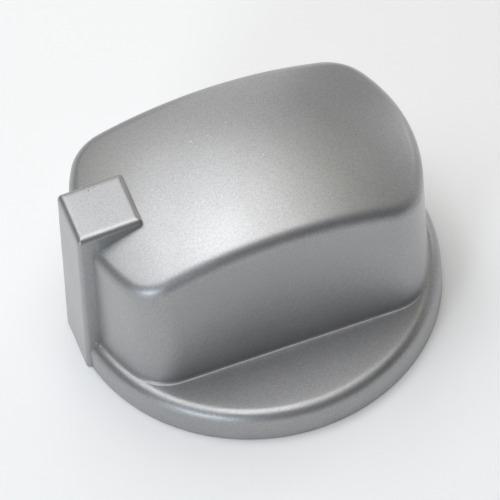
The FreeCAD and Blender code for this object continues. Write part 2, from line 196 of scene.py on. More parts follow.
class StudioSettings(bpy.types.PropertyGroup):
    """Place of the camera, which sees the knob as the photograph does."""

    azimuth: angle("Azimuth", "Turn of the camera about Z from the front", -15.97)
    elevation: angle("Elevation", "Height of the camera above the horizon", 53.98)
    roll: angle("Roll", "Turn of the camera about its own axis", -5.24)
    distance: length("Distance", "Distance of the camera from its aim", 600.0)
    aim: FloatVectorProperty(
        name="Aim",
        description="Point that the camera looks at",
        default=(-0.60 * MM, -1.28 * MM, 8.98 * MM),
        subtype="TRANSLATION",
        precision=5,
    )
    lens: FloatProperty(
        name="Lens", description="Focal length in millimetres", default=364.0, unit="CAMERA"
    )


def swing(first, second, share):
    """Unit vectors on the great circle from one set of unit vectors to another.

    Formula: sin((1 - share) a) / sin a times the first plus sin(share a) / sin a times the second,
    where a is the angle between them.
    """
    turn = np.arccos(np.clip(np.sum(first * second, axis=-1, keepdims=True), -1.0, 1.0))
    turn = np.maximum(turn, 1e-9)
    return (np.sin((1 - share) * turn) * first + np.sin(share * turn) * second) / np.sin(turn)


def unit(vectors):
    """Vectors scaled to length one."""
    return vectors / np.linalg.norm(vectors, axis=-1, keepdims=True)


def radius_of(points):
    """Distance from the spindle's axis."""
    return np.hypot(points[..., 0], points[..., 1])


def plan_ring(half_width, end_radius, corner_radius):
    """Plan of the bar grip as a closed ring of points, with its outward normals.

    Formula: in a quarter, an end struck from the axis, then a corner arc tangent to it, then a straight
    side tangent to the corner. The corner's centre lies corner_radius inside both. The quarter is
    mirrored in X, in both and in Y to close the ring.
    """
    centre_y = half_width - corner_radius
    centre_x = math.sqrt((end_radius - corner_radius) ** 2 - centre_y**2)
    lean = math.atan2(centre_y, centre_x)
    on_end = np.linspace(0.0, lean, END_STEPS, endpoint=False)
    on_corner = np.linspace(lean, math.pi / 2, CORNER_STEPS, endpoint=False)
    on_side = np.linspace(centre_x, 0.0, SIDE_STEPS + 1)
    turn = np.concatenate([on_end, on_corner, np.full(len(on_side), math.pi / 2)])
    x = np.concatenate([
        end_radius * np.cos(on_end),
        centre_x + corner_radius * np.cos(on_corner),
        on_side,
    ])
    y = np.concatenate([
        end_radius * np.sin(on_end),
        centre_y + corner_radius * np.sin(on_corner),
        np.full(len(on_side), half_width),
    ])
    quarter = np.stack([x, y, np.cos(turn), np.sin(turn)], axis=1)
    mirror_x = np.array([-1.0, 1.0, -1.0, 1.0])
    mirror_y = np.array([1.0, -1.0, 1.0, -1.0])
    ring = np.concatenate([
        quarter[:-1],
        quarter[:0:-1] * mirror_x,
        quarter[:-1] * mirror_x * mirror_y,
        quarter[:0:-1] * mirror_y,
    ])
    return ring[:, :2], ring[:, 2:]


class Wall:
    """A ruled wall between two plans: a straight line from each point of the foot to its point of the top.

    Formula: point(z) is the foot plus z / height times the difference, and the normal is the plan's own,
    tipped until it is square to the line.
    """

    def __init__(self, foot, top, height):
        """foot and top are the half width, end radius and corner radius of each plan."""
        low, low_normals = plan_ring(*foot)
        high, high_normals = plan_ring(*top)
        self.foot = np.column_stack([low, np.zeros(len(low))])
        self.rise = np.column_stack([high - low, np.full(len(low), height)]) / height
        flat = unit(low_normals + high_normals)
        tip = -np.sum(flat * self.rise[:, :2], axis=1)
        self.normals = unit(np.column_stack([flat, tip]))

    def at(self, z):
        """Points of the wall at one height, or at a height for each column."""
        return self.foot + self.rise * np.reshape(z, (-1, 1))

    def bend_to(self, centre, sphere_radius, rounding):
        """Centres of a ball that rolls inside the wall and inside a sphere, and the sphere's normals there.

        Formula: the ball's centre lies one rounding inside the wall, at the height where its distance
        from the sphere's centre is the sphere's radius less the rounding. Halving finds that height.
        """
        low = np.zeros(len(self.foot))
        high = np.full(len(self.foot), centre[2] + sphere_radius)
        for _ in range(HALVINGS):
            middle = (low + high) / 2
            ball = self.at(middle) - rounding * self.normals
            inside = np.linalg.norm(ball - centre, axis=1) < sphere_radius - rounding
            low = np.where(inside, middle, low)
            high = np.where(inside, high, middle)
        ball = self.at(low) - rounding * self.normals
        return ball, unit(ball - centre), low


def drafted_wall(sizes, inset, draft):
    """The grip's wall, or the cavity's wall one inset inside it, leaning alike all round.

    Formula: the half width, end radius and corner radius at the skirt's flat each grow by the height
    times the tangent of the draft on the way down and shrink likewise on the way up.
    """
    slope = math.tan(draft)
    plan = np.array([sizes.grip_width / 2, sizes.skirt_radius - sizes.skirt_ledge, sizes.grip_corner])
    foot = plan - inset + sizes.skirt_height * slope
    return Wall(foot, foot - sizes.dome_height * slope, sizes.dome_height)


def shares(count, first=False):
    """Even shares from 0 to 1, with or without the 0."""
    steps = np.linspace(0.0, 1.0, count + 1)
    return steps if first else steps[1:]


def ring_along(outward, radius, z):
    """A ring on the lines through the axis, at one radius and height or at one of each for each line."""
    return np.column_stack([outward * np.reshape(radius, (-1, 1)), np.broadcast_to(z, len(outward))])


def closed_surface(rows, start, end):
    """Vertices and faces of a closed surface through rows of points, with a pole at either end.

    Each row is a ring of as many points. Neighbouring rings are joined by quads and the first and last
    ring by triangles to their poles.
    """
    rows = np.asarray(rows)
    count, columns = rows.shape[:2]
    vertices = np.concatenate([rows.reshape(-1, 3), [start], [end]])
    here = np.arange(columns)
    following = (here + 1) % columns
    step = np.arange(count - 1)[:, None] * columns
    quads = np.stack(
        [step + here, step + columns + here, step + columns + following, step + following], axis=-1
    )
    first = np.stack([np.full(columns, count * columns), here, following], axis=-1)
    last_row = (count - 1) * columns
    last = np.stack([np.full(columns, count * columns + 1), last_row + following, last_row + here], axis=-1)
    return vertices, quads.reshape(-1, 4), np.concatenate([first, last])


def make_mesh(name, vertices, quads, triangles):
    """A mesh from arrays of vertices, quads and triangles."""
    mesh = bpy.data.meshes.new(name)
    loops = np.concatenate([quads.ravel(), triangles.ravel()]).astype(np.int32)
    sizes = np.concatenate([np.full(len(quads), 4), np.full(len(triangles), 3)])
    starts = np.concatenate([[0], np.cumsum(sizes)[:-1]]).astype(np.int32)
    mesh.vertices.add(len(vertices))
    mesh.vertices.foreach_set("co", np.asarray(vertices, np.float32).ravel())
    mesh.loops.add(len(loops))
    mesh.loops.foreach_set("vertex_index", loops)
    mesh.polygons.add(len(sizes))
    mesh.polygons.foreach_set("loop_start", starts)
    mesh.update(calc_edges=True)
    mesh.validate()
    return mesh


def add_object(name, mesh, materials=()):
    """An object at the origin that shows a mesh in these materials."""
    piece = bpy.data.objects.new(name, mesh)
    bpy.context.scene.collection.objects.link(piece)
    for material in materials:
        mesh.materials.append(material)
    return piece


def shade(mesh):
    """Smooth shading, with a crease at every edge sharper than the crease angle."""
    mesh.shade_smooth()
    mesh.set_sharp_from_angle(angle=math.radians(CREASE_ANGLE))


def to_linear(code):
    """An sRGB hex colour as linear red, green, blue and alpha."""
    channels = [int(code[i:i + 2], 16) / 255 for i in (1, 3, 5)]
    linear = [c / 12.92 if c <= 0.04045 else ((c + 0.055) / 1.055) ** 2.4 for c in channels]
    return (*linear, 1.0)


def add_node(tree, kind, values=None, links=None, **settings):
    """A node of a kind, with its settings, the values of its sockets and the links into them."""
    node = tree.nodes.new(kind)
    for name, setting in settings.items():
        setattr(node, name, setting)
    for socket, value in (values or {}).items():
        node.inputs[socket].default_value = value
    for socket, source in (links or {}).items():
        tree.links.new(source, node.inputs[socket])
    return node


def new_material(name):
    """An empty node material."""
    material = bpy.data.materials.new(name)
    material.use_nodes = True
    material.node_tree.nodes.clear()
    return material


def spots(tree, place, marks):
    """Mask of small round marks with ragged edges, each given by its centre and radius in millimetres.

    The mask is one where the distance from a centre, shifted by a fine noise, is under the radius.
    """
    ragged = add_node(
        tree, "ShaderNodeTexNoise", {"Scale": 1 / (0.15 * MM), "Detail": 1.0},
        {"Vector": place.outputs["Object"]},
    )
    mask = None
    for x, y, z, radius in marks:
        away = add_node(
            tree, "ShaderNodeVectorMath", {1: (x * MM, y * MM, z * MM)}, {0: place.outputs["Object"]},
            operation="DISTANCE",
        )
        reach = add_node(
            tree, "ShaderNodeMath", {1: radius * MM, 2: radius * MM / 2}, {0: ragged.outputs["Fac"]},
            operation="MULTIPLY_ADD",
        )
        inside = add_node(
            tree, "ShaderNodeMapRange", {"To Min": 1.0, "To Max": 0.0},
            {"Value": away.outputs["Value"], "From Max": reach.outputs["Value"]},
            interpolation_type="SMOOTHSTEP",
        )
        if mask is None:
            mask = inside.outputs["Result"]
        else:
            both = add_node(
                tree, "ShaderNodeMath", None, {0: mask, 1: inside.outputs["Result"]}, operation="MAXIMUM",
            )
            mask = both.outputs["Value"]
    return mask


# Marks in the paint: x, y and z of the centre and the radius, in millimetres
DUST = [(-18.19, 2.77, 24.89, 0.17), (-22.34, 3.09, 10.13, 0.19), (16.38, -11.82, 17.97, 0.14)]
# Light marks: a bare fleck on the dome, and two at the pointer's foot on the skirt that are a painted
# highlight of the fillet there
FLECKS_AND_HIGHLIGHT = [(-5.0, 4.22, 25.85, 0.17), (-21.24, -3.9, 4.32, 0.3), (-20.9, -4.35, 4.17, 0.22)]


def satin_silver_paint(finishes):
    """ABS sprayed with silver paint: aluminium flakes under a satin lacquer, over a fine moulded grain.

    The flakes give a wide gloss like that of rough metal and a speckle that is brighter and darker by
    turns, with a painted glint on a few of them, and the lacquer a narrower soft gloss over it. A few
    specks of dust and a bare fleck lie in it, and a painted highlight sits on the skirt at the pointer's
    foot.
    """
    material = new_material("satin_silver_paint")
    tree = material.node_tree
    place = add_node(tree, "ShaderNodeTexCoord")
    where = {"Vector": place.outputs["Object"]}
    # Flakes are about 0.03 mm across, drawn here at 0.2 mm so that they show
    flakes = add_node(
        tree, "ShaderNodeTexNoise", {"Scale": 1 / (0.2 * MM), "Detail": 2.0, "Roughness": 0.65}, where,
    )
    # Painted glint: about one cell in two hundred, of 0.16 mm, gets a lighter colour, standing in for a
    # flake that lies flat to the light and glints
    cells = add_node(tree, "ShaderNodeTexVoronoi", {"Scale": 1 / (0.16 * MM)}, where)
    glint = add_node(
        tree, "ShaderNodeMapRange", {"From Min": 0.93, "From Max": 1.0, "To Max": 0.8},
        {"Value": cells.outputs["Color"]},
    )
    # Spray lays the paint a little unevenly over about 6 mm
    clouds = add_node(tree, "ShaderNodeTexNoise", {"Scale": 1 / (6 * MM), "Detail": 1.0}, where)
    speckle = add_node(
        tree, "ShaderNodeMapRange", {"From Min": 0.3, "From Max": 0.7}, {"Value": flakes.outputs["Fac"]},
    )
    mottled = add_node(
        tree, "ShaderNodeMix", {"A": to_linear(finishes.paint), "B": to_linear(finishes.paint_light)},
        {"Factor": speckle.outputs["Result"]}, data_type="RGBA",
    )
    # Painted glint laid over the mottled paint
    with_painted_glint = add_node(
        tree, "ShaderNodeMix", {"B": to_linear(finishes.painted_glint)},
        {"Factor": glint.outputs["Result"], "A": mottled.outputs["Result"]}, data_type="RGBA",
    )
    dusty = add_node(
        tree, "ShaderNodeMix", {"B": to_linear(finishes.dust)},
        {"Factor": spots(tree, place, DUST), "A": with_painted_glint.outputs["Result"]}, data_type="RGBA",
    )
    # Painted highlight at the pointer's foot, and a bare fleck on the dome, laid over the rest
    tone = add_node(
        tree, "ShaderNodeMix", {"B": to_linear(finishes.fleck_and_highlight)},
        {"Factor": spots(tree, place, FLECKS_AND_HIGHLIGHT), "A": dusty.outputs["Result"]}, data_type="RGBA",
    )
    roughness = add_node(
        tree, "ShaderNodeMapRange", {"From Min": 0.3, "From Max": 0.7, "To Min": 0.46, "To Max": 0.52},
        {"Value": clouds.outputs["Fac"]},
    )
    grain = add_node(
        tree, "ShaderNodeBump", {"Strength": 0.45, "Distance": 0.02 * MM},
        {"Height": flakes.outputs["Fac"]},
    )
    paint = add_node(
        tree, "ShaderNodeBsdfPrincipled", {"Metallic": 0.9, "Coat Weight": 0.73, "Coat Roughness": 0.3},
        {
            "Base Color": tone.outputs["Result"],
            "Roughness": roughness.outputs["Result"],
            "Normal": grain.outputs["Normal"],
        },
    )
    add_node(tree, "ShaderNodeOutputMaterial", None, {"Surface": paint.outputs["BSDF"]})
    return material


def bare_abs(finishes):
    """Unpainted grey ABS as moulded inside the knob: a half-gloss plastic, with paint mist near the rim."""
    material = new_material("bare_abs")
    tree = material.node_tree
    place = add_node(tree, "ShaderNodeTexCoord")
    where = {"Vector": place.outputs["Object"]}
    # Spark-eroded mould grain, about 0.5 mm from crest to crest
    grain = add_node(tree, "ShaderNodeTexNoise", {"Scale": 1 / (0.5 * MM), "Detail": 3.0}, where)
    bump = add_node(
        tree, "ShaderNodeBump", {"Strength": 0.15, "Distance": 0.02 * MM},
        {"Height": grain.outputs["Fac"]},
    )
    # Paint mist falls off over about 7 mm from the rim and breaks up into droplets of about 0.15 mm
    height = add_node(tree, "ShaderNodeSeparateXYZ", None, where)
    mist = add_node(
        tree, "ShaderNodeMapRange", {"From Max": 7.0 * MM, "To Min": 0.7, "To Max": 0.0},
        {"Value": height.outputs["Z"]},
    )
    droplets = add_node(tree, "ShaderNodeTexNoise", {"Scale": 1 / (0.3 * MM), "Detail": 2.0}, where)
    landed = add_node(
        tree, "ShaderNodeMath", None, {0: mist.outputs["Result"], 1: droplets.outputs["Fac"]},
        operation="MULTIPLY",
    )
    tone = add_node(
        tree, "ShaderNodeMix", {"A": to_linear(finishes.plastic), "B": to_linear(finishes.paint)},
        {"Factor": landed.outputs["Value"]}, data_type="RGBA",
    )
    plastic = add_node(
        tree, "ShaderNodeBsdfPrincipled", {"IOR": 1.53, "Roughness": 0.42},
        {"Base Color": tone.outputs["Result"], "Normal": bump.outputs["Normal"]},
    )
    add_node(tree, "ShaderNodeOutputMaterial", None, {"Surface": plastic.outputs["BSDF"]})
    return material


def spring_steel(finishes):
    """Cold-rolled spring steel strip: bare metal with fine rolling lines round the strip."""
    material = new_material("spring_steel")
    tree = material.node_tree
    place = add_node(tree, "ShaderNodeTexCoord")
    # Rolling lines are about 0.1 mm apart across the strip and 25 mm long round it
    stretch = add_node(
        tree, "ShaderNodeMapping", {"Scale": (1 / (25 * MM), 1 / (25 * MM), 1 / (0.1 * MM))},
        {"Vector": place.outputs["Object"]},
    )
    lines = add_node(
        tree, "ShaderNodeTexNoise", {"Scale": 1.0, "Detail": 2.0}, {"Vector": stretch.outputs["Vector"]},
    )
    roughness = add_node(
        tree, "ShaderNodeMapRange", {"From Min": 0.3, "From Max": 0.7, "To Min": 0.24, "To Max": 0.38},
        {"Value": lines.outputs["Fac"]},
    )
    bump = add_node(
        tree, "ShaderNodeBump", {"Strength": 0.2, "Distance": 0.01 * MM}, {"Height": lines.outputs["Fac"]},
    )
    steel = add_node(
        tree, "ShaderNodeBsdfPrincipled", {"Base Color": to_linear(finishes.steel), "Metallic": 1.0},
        {"Roughness": roughness.outputs["Result"], "Normal": bump.outputs["Normal"]},
    )
    add_node(tree, "ShaderNodeOutputMaterial", None, {"Surface": steel.outputs["BSDF"]})
    return material


def outside_rows(sizes):
    """Rings of the moulding's outside, from beside the dome's pole down to the rim.

    Formula: the dome is swung from the pole along the sphere, the crown is an arc about a rolling ball's
    centre, the wall is ruled, the foot is an arc about a ball that rolls on the wall and on the skirt,
    and the skirt is a flat, an arc and a drafted wall, reached along lines through the axis.
    """
    centre = np.array([0.0, 0.0, sizes.dome_height - sizes.dome_radius])
    pole = np.array([0.0, 0.0, 1.0])
    wall = drafted_wall(sizes, 0.0, sizes.grip_draft)
    ball, on_dome, _ = wall.bend_to(centre, sizes.dome_radius, sizes.crown_rounding)
    rows = [centre + sizes.dome_radius * swing(pole, on_dome, share) for share in shares(DOME_STEPS)]
    crown = sizes.crown_rounding
    rows += [ball + crown * swing(on_dome, wall.normals, share) for share in shares(ARC_STEPS)]

    # Skirt's section: the flat ends at flat_end, where the rim's arc about (flat_end, arc_height) begins
    skirt_slope = math.tan(sizes.skirt_draft)
    arc_height = sizes.skirt_height - sizes.rim_rounding
    flat_end = (
        sizes.skirt_radius - arc_height * skirt_slope - sizes.rim_rounding / math.cos(sizes.skirt_draft)
    )

    # Foot: the ball's centre is one rounding off the wall and off the skirt's flat or arc. Its height
    # and its distance from the axis depend on each other, and a few rounds settle both
    foot = sizes.foot_rounding
    height = np.full(len(wall.foot), sizes.skirt_height)
    for _ in range(FOOT_ROUNDS):
        ball = wall.at(height) + foot * wall.normals
        beyond = np.maximum(radius_of(ball) - flat_end, 0.0)
        drop = sizes.rim_rounding + foot - np.sqrt((sizes.rim_rounding + foot) ** 2 - beyond**2)
        height = sizes.skirt_height + foot - drop - foot * wall.normals[:, 2]
    outward = unit(ball[:, :2])
    lean = np.arcsin(beyond / (sizes.rim_rounding + foot))
    down = -np.column_stack([outward * np.sin(lean)[:, None], np.cos(lean)])
    crown_end = rows[-1]
    wall_end = wall.at(height)
    rows += [crown_end + (wall_end - crown_end) * share for share in shares(WALL_STEPS)]
    rows += [ball + foot * swing(-wall.normals, down, share) for share in shares(FILLET_STEPS)]

    # Flat, then the arc from where it is met down to the skirt's wall
    touch_radius = radius_of(rows[-1])
    least_band = 0.06 * MM
    ring = partial(ring_along, outward)

    def skirt_at(distance):
        """Radius and height on the flat and the arc at a distance along them from the flat's end."""
        turn = np.maximum(distance, 0.0) / sizes.rim_rounding
        radius = flat_end + np.minimum(distance, 0.0) + sizes.rim_rounding * np.sin(turn)
        return radius, arc_height + sizes.rim_rounding * np.cos(turn)

    first = np.where(touch_radius < flat_end, touch_radius - flat_end, sizes.rim_rounding * lean)
    second = np.maximum(first + least_band, 0.0)
    arc_length = sizes.rim_rounding * (math.pi / 2 - sizes.skirt_draft)
    rows += [ring(*skirt_at(first + (second - first) * share)) for share in shares(WALL_STEPS)]
    rows += [ring(*skirt_at(second + (arc_length - second) * share)) for share in shares(ARC_STEPS)]
    edge = sizes.rim_edge
    wall_low = sizes.skirt_radius - edge * skirt_slope
    (wall_high,), (wall_top,) = skirt_at(np.array([arc_length]))
    rows += [
        ring(wall_high + (wall_low - wall_high) * share, wall_top + (edge - wall_top) * share)
        for share in shares(EDGE_STEPS)
    ]
    rows += [
        ring(wall_low - edge * (1 - math.cos(turn)), edge * (1 - math.sin(turn)))
        for turn in shares(EDGE_STEPS) * math.pi / 2
    ]
    return rows, outward, centre + sizes.dome_radius * pole


def inside_rows(sizes, hollow, outward):
    """Rings of the moulding's inside, from the rim up into the cavity and down the boss into its bore.

    Formula: the recess is a drafted cylinder with a flat roof, the cavity is the grip's plan one wall
    thickness in, rounded into a sphere one roof thickness under the dome, and the boss and its bore are
    cylinders and cones reached along lines through the axis. The flat of the bore cuts those lines short
    at its offset divided by the cosine of their azimuth.
    """
    ring = partial(ring_along, outward)
    skirt_slope = math.tan(sizes.skirt_draft)
    edge = sizes.rim_edge
    recess = sizes.skirt_radius - hollow.skirt_wall
    roof_height = sizes.skirt_height - hollow.skirt_plate
    recess_top = recess - roof_height * skirt_slope
    rows = [
        ring(recess + edge * (1 - math.sin(turn)), edge * (1 - math.cos(turn)))
        for turn in shares(EDGE_STEPS, first=True) * math.pi / 2
    ]
    corner = 2 * edge
    rows += [
        ring(recess + (recess_top - recess) * share, edge + (roof_height - corner - edge) * share)
        for share in shares(LIP_STEPS)
    ]
    rows += [
        ring(recess_top - corner * (1 - math.cos(turn)), roof_height - corner * (1 - math.sin(turn)))
        for turn in shares(EDGE_STEPS) * math.pi / 2
    ]

    wall = drafted_wall(sizes, hollow.grip_wall, hollow.cavity_draft)
    centre = np.array([0.0, 0.0, sizes.dome_height - sizes.dome_radius])
    sphere = sizes.dome_radius - hollow.roof
    ball, on_roof, bend_height = wall.bend_to(centre, sphere, hollow.inner_rounding)
    outer = rows[-1]
    mouth = wall.at(roof_height) + edge * wall.normals
    rows += [outer + (mouth - outer) * share for share in shares(FLAT_STEPS)]
    up = np.broadcast_to([0.0, 0.0, 1.0], wall.normals.shape)
    lip = mouth + edge * up
    rows += [lip - edge * swing(up, wall.normals, share) for share in shares(LIP_STEPS)]
    wall_low = rows[-1]
    wall_high = wall.at(bend_height)
    rows += [wall_low + (wall_high - wall_low) * share for share in shares(WALL_STEPS)]
    rows += [
        ball + hollow.inner_rounding * swing(wall.normals, on_roof, share)
        for share in shares(FILLET_STEPS)
    ]

    # Roof, on the sphere along straight plan lines to the boss
    boss_slope = math.tan(hollow.boss_draft)
    boss_top = centre[2] + math.sqrt(sphere**2 - hollow.shoulder_radius**2)
    boss_radius = hollow.shoulder_radius + (boss_top - hollow.neck_end) * boss_slope
    boss_top = centre[2] + math.sqrt(sphere**2 - boss_radius**2)
    roof_edge = rows[-1][:, :2]
    for share in shares(ROOF_STEPS):
        plan = roof_edge + (outward * boss_radius - roof_edge) * share
        rows.append(np.column_stack([plan, centre[2] + np.sqrt(sphere**2 - np.sum(plan**2, axis=1))]))
    shoulder = hollow.shoulder_radius
    neck = hollow.neck_radius
    lip_radius = neck + hollow.lip_step
    neck_end = hollow.neck_end
    rows += [
        ring(boss_radius + (shoulder - boss_radius) * share, boss_top + (neck_end - boss_top) * share)
        for share in shares(WALL_STEPS)
    ]
    lead = hollow.lead_in_radius
    chamfer = hollow.mouth_chamfer
    section = [
        (neck, neck_end),
        (neck, (neck_end + hollow.lip_height) / 2),
        (neck, hollow.lip_height),
        (lip_radius, hollow.lip_height),
        (lip_radius, edge),
        (lip_radius - edge, 0.0),
        (lead + chamfer, 0.0),
        (lead, chamfer),
        (lead, hollow.lead_in_depth),
    ]
    rows += [ring(radius, z) for radius, z in section]
    cosine = np.maximum(outward[:, 0], 1e-6)
    bore = np.minimum(hollow.bore_radius, hollow.flat_offset / cosine)
    rows += [ring(bore, z) for z in np.linspace(hollow.lead_in_depth, hollow.bore_depth, FLAT_STEPS)]
    return rows, np.array([0.0, 0.0, hollow.bore_depth])


def rounded_box(size, corner, rounding, bend):
    """Vertices and faces of a block on the XY plane, with upright corners and top edges rounded.

    Formula: the plan is a rectangle with corner arcs. It climbs straight to the top edge, where it
    shrinks by rounding (1 - cos) as it climbs by rounding sin, its corner arcs shrinking with it down to
    a least radius. Foot and top are closed by the same plan at smaller and smaller scales. bend then
    moves every point, to lean or slope the block.
    """
    depth, width, height = size
    least = 0.12 * MM
    quarters = np.arange(4)[:, None] * math.pi / 2
    corner_turn = quarters + shares(POINTER_CORNER_STEPS, first=True) * math.pi / 2
    side_x = np.array([[1], [-1], [-1], [1]])
    side_y = np.array([[1], [1], [-1], [-1]])
    # Straight sides are cut into as many steps as a corner has points, so that all rings match
    steps = np.linspace(0.0, 1.0, POINTER_CORNER_STEPS + 1, endpoint=False)[None, :, None]

    def outline(inset):
        """The plan one inset inside the block's, anticlockwise: each corner arc and then its side."""
        radius = max(corner - inset, least)
        x = side_x * (depth / 2 - inset - radius) + radius * np.cos(corner_turn)
        y = side_y * (width / 2 - inset - radius) + radius * np.sin(corner_turn)
        arcs = np.stack([x, y], axis=-1)
        last = arcs[:, -1:]
        sides = last + (np.roll(arcs[:, :1], -1, axis=0) - last) * steps
        return np.concatenate([arcs[:, :-1], sides], axis=1).reshape(-1, 2)

    rows = [(0.0, share * (height - rounding)) for share in shares(POINTER_WALL_STEPS, first=True)]
    rows += [
        (rounding * (1 - math.cos(turn)), height - rounding + rounding * math.sin(turn))
        for turn in shares(POINTER_EDGE_STEPS) * math.pi / 2
    ]
    rings = []
    for inset, z in rows:
        plan = outline(inset)
        rings.append(np.column_stack([plan, np.full(len(plan), z)]))
    low = rings[0]
    high = rings[-1]
    start = np.array([0.0, 0.0, 0.0])
    end = np.array([0.0, 0.0, height])
    foot_scales = (0.35, 0.7)
    top_scales = (0.9, 0.7, 0.45, 0.2)
    rings = [low * np.array([scale, scale, 1.0]) for scale in foot_scales] + rings
    rings += [high * np.array([scale, scale, 1.0]) for scale in top_scales]
    vertices, quads, triangles = closed_surface(rings[::-1], end, start)
    return bend(vertices), quads, triangles


def pointer_top(sizes):
    """Height of the pointer's top at its inner end."""
    inner = sizes.pointer_reach - sizes.pointer_length
    return (
        sizes.dome_height - sizes.dome_radius + math.sqrt(sizes.dome_radius**2 - inner**2)
        + sizes.pointer_stand
    )


def pointer_block(sizes):
    """The pointer's solid: a rounded block whose end leans in and whose top slopes down to that end."""
    inner = sizes.pointer_reach - sizes.pointer_length
    top = pointer_top(sizes)
    slope = math.tan(sizes.pointer_lean)
    # Its foot lies a hair above the rim's plane, so that the two don't share a plane
    lift = 0.02 * MM

    def bend(points):
        """The outer end leans in by slope times z, and the top falls by slope times the way out."""
        out = 0.5 - points[:, 0] / sizes.pointer_length
        x = -inner - sizes.pointer_length * out + out * points[:, 2] * slope
        z = points[:, 2] * (1 - out * sizes.pointer_length * slope / top) + lift
        return np.column_stack([x, points[:, 1], z])

    size = (sizes.pointer_length, sizes.pointer_width, top)
    return rounded_box(size, sizes.pointer_corner, sizes.pointer_rounding, bend)


def block(low, high, tops=None):
    """Vertices and faces of a plain block between two corners.

    Formula: stations along X, each a ring of four corners. tops may give the height at each station.
    """
    stations = 2 if tops is None else len(tops)
    x = np.linspace(low[0], high[0], stations)
    top = np.full(stations, high[2]) if tops is None else tops
    rings = np.stack([
        np.column_stack([x, np.full(stations, low[1]), np.full(stations, low[2])]),
        np.column_stack([x, np.full(stations, high[1]), np.full(stations, low[2])]),
        np.column_stack([x, np.full(stations, high[1]), top]),
        np.column_stack([x, np.full(stations, low[1]), top]),
    ], axis=1)[::-1]
    start = rings[0].mean(axis=0)
    end = rings[-1].mean(axis=0)
    return closed_surface(rings, start, end)


def ribs(sizes, hollow):
    """The four ribs from the boss to the walls, each sunk a little into what it meets."""
    centre_height = sizes.dome_height - sizes.dome_radius
    sphere = sizes.dome_radius - hollow.roof / 2
    half = hollow.rib_thickness / 2
    sunk = 1.0 * MM
    pointer_sunk = 0.3 * MM
    inner = hollow.neck_radius - sunk
    end_reach = sizes.skirt_radius - sizes.skirt_ledge - hollow.grip_wall + sunk
    side_reach = sizes.grip_width / 2 - hollow.grip_wall + sunk
    pointer_reach = sizes.pointer_reach - hollow.pointer_wall + pointer_sunk
    pointer_roof = pointer_top(sizes) - hollow.roof / 2 - sizes.pointer_stand
    made = []
    for quarter, reach in enumerate((end_reach, side_reach, pointer_reach, side_reach)):
        stations = np.linspace(inner, reach, RIB_STATIONS)
        tops = centre_height + np.sqrt(sphere**2 - stations**2)
        if reach == pointer_reach:
            tops = np.maximum(tops, pointer_roof)
        vertices, quads, triangles = block((inner, -half, hollow.rib_foot), (reach, half, 0.0), tops)
        turn = quarter * math.pi / 2
        spin = np.array([
            [math.cos(turn), math.sin(turn), 0.0],
            [-math.sin(turn), math.cos(turn), 0.0],
            [0.0, 0.0, 1.0],
        ])
        made.append((vertices @ spin, quads, triangles))
    return joined(made)


def joined(parts):
    """Several sets of vertices and faces as one set."""
    vertices, quads, triangles = [], [], []
    offset = 0
    for part_vertices, part_quads, part_triangles in parts:
        vertices.append(part_vertices)
        quads.append(part_quads + offset)
        triangles.append(part_triangles + offset)
        offset += len(part_vertices)
    return np.concatenate(vertices), np.concatenate(quads), np.concatenate(triangles)


def pointer_core(sizes, hollow):
    """The hollow of the pointer, open at the rim, and the two slots of the boss."""
    reach = sizes.pointer_reach - hollow.pointer_wall
    inner = sizes.pointer_reach - sizes.pointer_length
    slope = math.tan(sizes.pointer_lean)
    top = pointer_top(sizes) - sizes.pointer_length * slope - hollow.roof
    half = sizes.pointer_width / 2 - hollow.pointer_wall
    # Both cuts run past the surfaces that they open
    past = 1.0 * MM
    vertices, quads, triangles = block((-reach, -half, -past), (-inner, half, top))
    lean = np.where(vertices[:, 0] < -(reach + inner) / 2, vertices[:, 2] * slope, 0.0)
    core = (vertices + np.column_stack([lean, np.zeros((len(lean), 2))]), quads, triangles)
    slot = hollow.slot_width / 2
    across = hollow.shoulder_radius + past
    slots = block((-slot, -across, -past), (slot, across, hollow.slot_depth))
    return joined([core, slots])


def combine(piece, name, parts, operation, material_index, materials):
    """A solid joined to a piece or cut from it, its faces in one of the piece's materials."""
    mesh = make_mesh(name, *parts)
    tool = add_object(name, mesh, materials)
    mesh.polygons.foreach_set("material_index", np.full(len(mesh.polygons), material_index, np.int32))
    modifier = piece.modifiers.new(name, "BOOLEAN")
    modifier.operation = operation
    modifier.solver = "EXACT"
    modifier.object = tool
    bpy.context.view_layer.update()
    result = bpy.data.meshes.new_from_object(piece.evaluated_get(bpy.context.evaluated_depsgraph_get()))
    piece.modifiers.clear()
    piece.data = result
    bpy.data.objects.remove(tool)
    return result


class KNOB_OT_moulding(bpy.types.Operator):
    """Make the knob's one moulding: skirt, grip, dome, pointer and the hollow with its boss."""

    bl_idname = "knob.moulding"
    bl_label = "Moulding"

    def execute(self, context):
        sizes = context.scene.knob_sizes
        hollow = context.scene.knob_hollow
        finishes = context.scene.knob_finishes
        materials = [satin_silver_paint(finishes), bare_abs(finishes)]
        outside, outward, pole = outside_rows(sizes)
        inside, bore_end = inside_rows(sizes, hollow, outward)
        mesh = make_mesh("knob_moulding", *closed_surface(outside + inside, pole, bore_end))
        columns = len(outward)
        painted = np.zeros(len(mesh.polygons), np.int32)
        painted[len(outside) * columns:] = 1
        # The dome's fan of triangles comes first among the triangles and is painted too
        fans = len(mesh.polygons) - 2 * columns
        painted[fans:fans + columns] = 0
        mesh.polygons.foreach_set("material_index", painted)
        piece = add_object("knob_moulding", mesh, materials)
        combine(piece, "pointer", pointer_block(sizes), "UNION", 0, materials)
        combine(piece, "core", pointer_core(sizes, hollow), "DIFFERENCE", 1, materials)
        combine(piece, "ribs", ribs(sizes, hollow), "UNION", 1, materials)
        shade(piece.data)
        piece.data.name = "knob_moulding"
        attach(piece, "root")
        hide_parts("knob_body")
        return {"FINISHED"}


